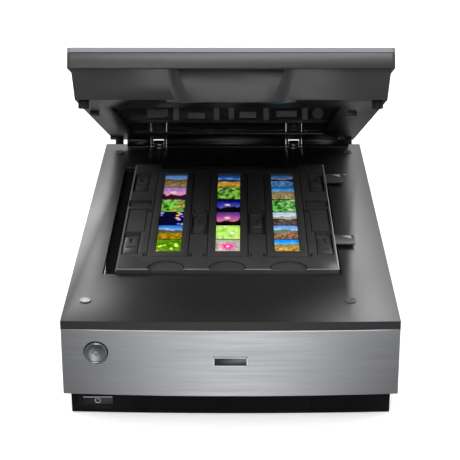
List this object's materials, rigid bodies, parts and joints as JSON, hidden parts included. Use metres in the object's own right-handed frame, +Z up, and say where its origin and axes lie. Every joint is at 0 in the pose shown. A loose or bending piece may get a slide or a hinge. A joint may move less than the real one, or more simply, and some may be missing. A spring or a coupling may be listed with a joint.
{
  "type": "flatbed scanner",
  "caption": "Flatbed scanner with a lit hinged lid, silver front panel and a film strip holder on its glass bed.",
  "frame": {"origin": "centre of the base on the desk plane, under the feet", "axes": "+X to the right seen from the front, -Y towards the front panel, +Z up"},
  "size_m": [0.309, 0.5209, 0.3312],
  "materials": {
    "housing_black": "satin moulded plastic",
    "panel_silver": "horizontally brushed",
    "badge_grey": "satin, blank",
    "tray_black": "fine textured",
    "screw_steel": "plain",
    "foot_rubber": "matt",
    "bed_glass": "clear",
    "pad_grey": "smooth",
    "button_silver": "satin, dished",
    "bezel_dark": "gloss",
    "board_green": "solder mask",
    "steel": "ground",
    "bright_steel": "bright",
    "belt_black": "matt",
    "motor_steel": "satin",
    "zinc_steel": "zinc plated",
    "carriage_black": "matt",
    "bush_brass": "plain",
    "lamp_white": "opal tube",
    "mirror": "front silvered",
    "lens_black": "black anodised",
    "pulley_white": "acetal",
    "lid_grey": "fine textured",
    "lid_silver": "metallic paint",
    "window_glass": "clear over a dark inside",
    "chassis_steel": "black",
    "hook_black": "satin",
    "diffuser_white": "opal",
    "holder_black": "fine textured",
    "film": "processed film",
    "socket_black": "matt"
  },
  "bodies": {
    "base": {"base_tray": "tray_black", "upper_housing": "housing_black", "front_panel": "panel_silver", "blank_badge": "badge_grey", "base_screws": "screw_steel", "rubber_feet": "foot_rubber", "platen_glass": "bed_glass", "corner_pads": "pad_grey", "button_bezel": "bezel_dark", "button_board": "board_green", "guide_rod": "steel", "guide_rail": "zinc_steel", "timing_belt": "belt_black", "idler_bracket": "zinc_steel", "stepper_motor": "motor_steel", "motor_bracket": "zinc_steel", "main_board": "board_green", "power_supply": "zinc_steel", "ac_inlet": "socket_black", "signal_ports": "steel"},
    "start_button": {"start_button": "button_silver"},
    "power_button": {"power_button": "socket_black"},
    "transport_lock": {"transport_lock": "socket_black"},
    "carriage": {"carriage_body": "carriage_black", "carriage_bushes": "bush_brass", "scan_lamp": "lamp_white", "mirrors": "mirror", "lens_unit": "lens_black", "ccd_board": "board_green"},
    "motor_pulley": {"motor_pulley": "pulley_white"},
    "idler_pulley": {"idler_pulley": "pulley_white"},
    "hinge": {"hinge_post_left": "bright_steel", "hinge_post_right": "bright_steel", "hinge_pins": "bright_steel"},
    "lid": {"lid_frame": "lid_grey", "lid_cover": "lid_grey", "lid_top_panel": "lid_silver", "lid_window": "window_glass", "lid_chassis": "chassis_steel", "hinge_leaves": "steel", "mat_hooks": "hook_black", "lid_bumpers": "foot_rubber", "lid_guide_rod": "steel", "lid_motor": "motor_steel", "lid_belt": "belt_black"},
    "lid_drive_pulley": {"lid_drive_pulley": "pulley_white"},
    "lid_idler_pulley": {"lid_idler_pulley": "pulley_white"},
    "light_unit": {"lid_light_unit": "carriage_black", "lid_lamp": "diffuser_white"},
    "holder": {"holder_frame": "holder_black", "film_strips": "film"},
    "film_cover_left": {"film_cover_left": "holder_black"},
    "film_cover_middle": {"film_cover_middle": "holder_black"},
    "film_cover_right": {"film_cover_right": "holder_black"},
    "height_adjuster_front_left": {"height_adjuster_front_left": "hook_black"},
    "height_adjuster_front_right": {"height_adjuster_front_right": "hook_black"},
    "height_adjuster_rear_left": {"height_adjuster_rear_left": "hook_black"},
    "height_adjuster_rear_right": {"height_adjuster_rear_right": "hook_black"},
    "height_adjuster_middle_left": {"height_adjuster_middle_left": "hook_black"},
    "height_adjuster_middle_right": {"height_adjuster_middle_right": "hook_black"}
  },
  "joints": [
    {"name": "start_press", "type": "slide", "parent": "base", "child": "start_button", "axis": [0, 1, 0], "range_m": [0, 0.0012], "stiffness_N_per_m": 600},
    {"name": "power_press", "type": "slide", "parent": "base", "child": "power_button", "axis": [0, 1, 0], "range_m": [0, 0.001], "stiffness_N_per_m": 600},
    {"name": "transport_lock_slide", "type": "slide", "parent": "base", "child": "transport_lock", "axis": [0, 1, 0], "range_m": [0, 0.01]},
    {"name": "carriage_scan", "type": "slide", "parent": "base", "child": "carriage", "axis": [0, 1, 0], "range_m": [0, 0.335]},
    {"name": "motor_pulley_spin", "type": "hinge", "parent": "base", "child": "motor_pulley", "pos_m": [-0.07, 0.222, 0.012], "axis": [0, 0, 1], "continuous": true},
    {"name": "idler_pulley_spin", "type": "hinge", "parent": "base", "child": "idler_pulley", "pos_m": [-0.07, -0.225, 0.012], "axis": [0, 0, 1], "continuous": true},
    {"name": "lid_lift", "type": "slide", "parent": "base", "child": "hinge", "axis": [0, 0, 1], "range_m": [0, 0.025]},
    {"name": "lid_hinge", "type": "hinge", "parent": "hinge", "child": "lid", "pos_m": [0, 0.241, 0.101], "axis": [-1, 0, 0], "range_deg": [-23.1, 56.9]},
    {"name": "light_unit_scan", "type": "slide", "parent": "lid", "child": "light_unit", "axis": [0, 0.9198, -0.3923], "range_m": [-0.2, 0.06]},
    {"name": "lid_drive_pulley_spin", "type": "hinge", "parent": "lid", "child": "lid_drive_pulley", "pos_m": [0.1, -0.13907, 0.29573], "axis": [0, 0.3923, 0.9198], "continuous": true},
    {"name": "lid_idler_pulley_spin", "type": "hinge", "parent": "lid", "child": "lid_idler_pulley", "pos_m": [0.1, 0.22886, 0.1388], "axis": [0, 0.3923, 0.9198], "continuous": true},
    {"name": "holder_lift_off", "type": "slide", "parent": "base", "child": "holder", "axis": [0, 0, 1], "range_m": [0, 0.028]},
    {"name": "film_cover_left_hinge", "type": "hinge", "parent": "holder", "child": "film_cover_left", "pos_m": [-0.06385, 0.135, 0.10075], "axis": [-1, 0, 0], "range_deg": [0, 30]},
    {"name": "film_cover_middle_hinge", "type": "hinge", "parent": "holder", "child": "film_cover_middle", "pos_m": [-0.00385, 0.135, 0.10075], "axis": [-1, 0, 0], "range_deg": [0, 30]},
    {"name": "film_cover_right_hinge", "type": "hinge", "parent": "holder", "child": "film_cover_right", "pos_m": [0.05615, 0.135, 0.10075], "axis": [-1, 0, 0], "range_deg": [0, 30]},
    {"name": "height_adjuster_front_left_slide", "type": "slide", "parent": "holder", "child": "height_adjuster_front_left", "axis": [0, 0.9806, 0.1961], "range_m": [0, 0.01]},
    {"name": "height_adjuster_front_right_slide", "type": "slide", "parent": "holder", "child": "height_adjuster_front_right", "axis": [0, 0.9806, 0.1961], "range_m": [0, 0.01]},
    {"name": "height_adjuster_rear_left_slide", "type": "slide", "parent": "holder", "child": "height_adjuster_rear_left", "axis": [0, 0.9806, 0.1961], "range_m": [0, 0.01]},
    {"name": "height_adjuster_rear_right_slide", "type": "slide", "parent": "holder", "child": "height_adjuster_rear_right", "axis": [0, 0.9806, 0.1961], "range_m": [0, 0.01]},
    {"name": "height_adjuster_middle_left_slide", "type": "slide", "parent": "holder", "child": "height_adjuster_middle_left", "axis": [0, 0.9806, 0.1961], "range_m": [0, 0.01]},
    {"name": "height_adjuster_middle_right_slide", "type": "slide", "parent": "holder", "child": "height_adjuster_middle_right", "axis": [0, 0.9806, 0.1961], "range_m": [0, 0.01]}
  ],
  "couplings": [
    {"joint": "motor_pulley_spin", "follows": "carriage_scan", "rad_per_m": 150.38},
    {"joint": "idler_pulley_spin", "follows": "carriage_scan", "rad_per_m": 150.38},
    {"joint": "lid_drive_pulley_spin", "follows": "light_unit_scan", "rad_per_m": 176.99},
    {"joint": "lid_idler_pulley_spin", "follows": "light_unit_scan", "rad_per_m": 176.99}
  ]
}
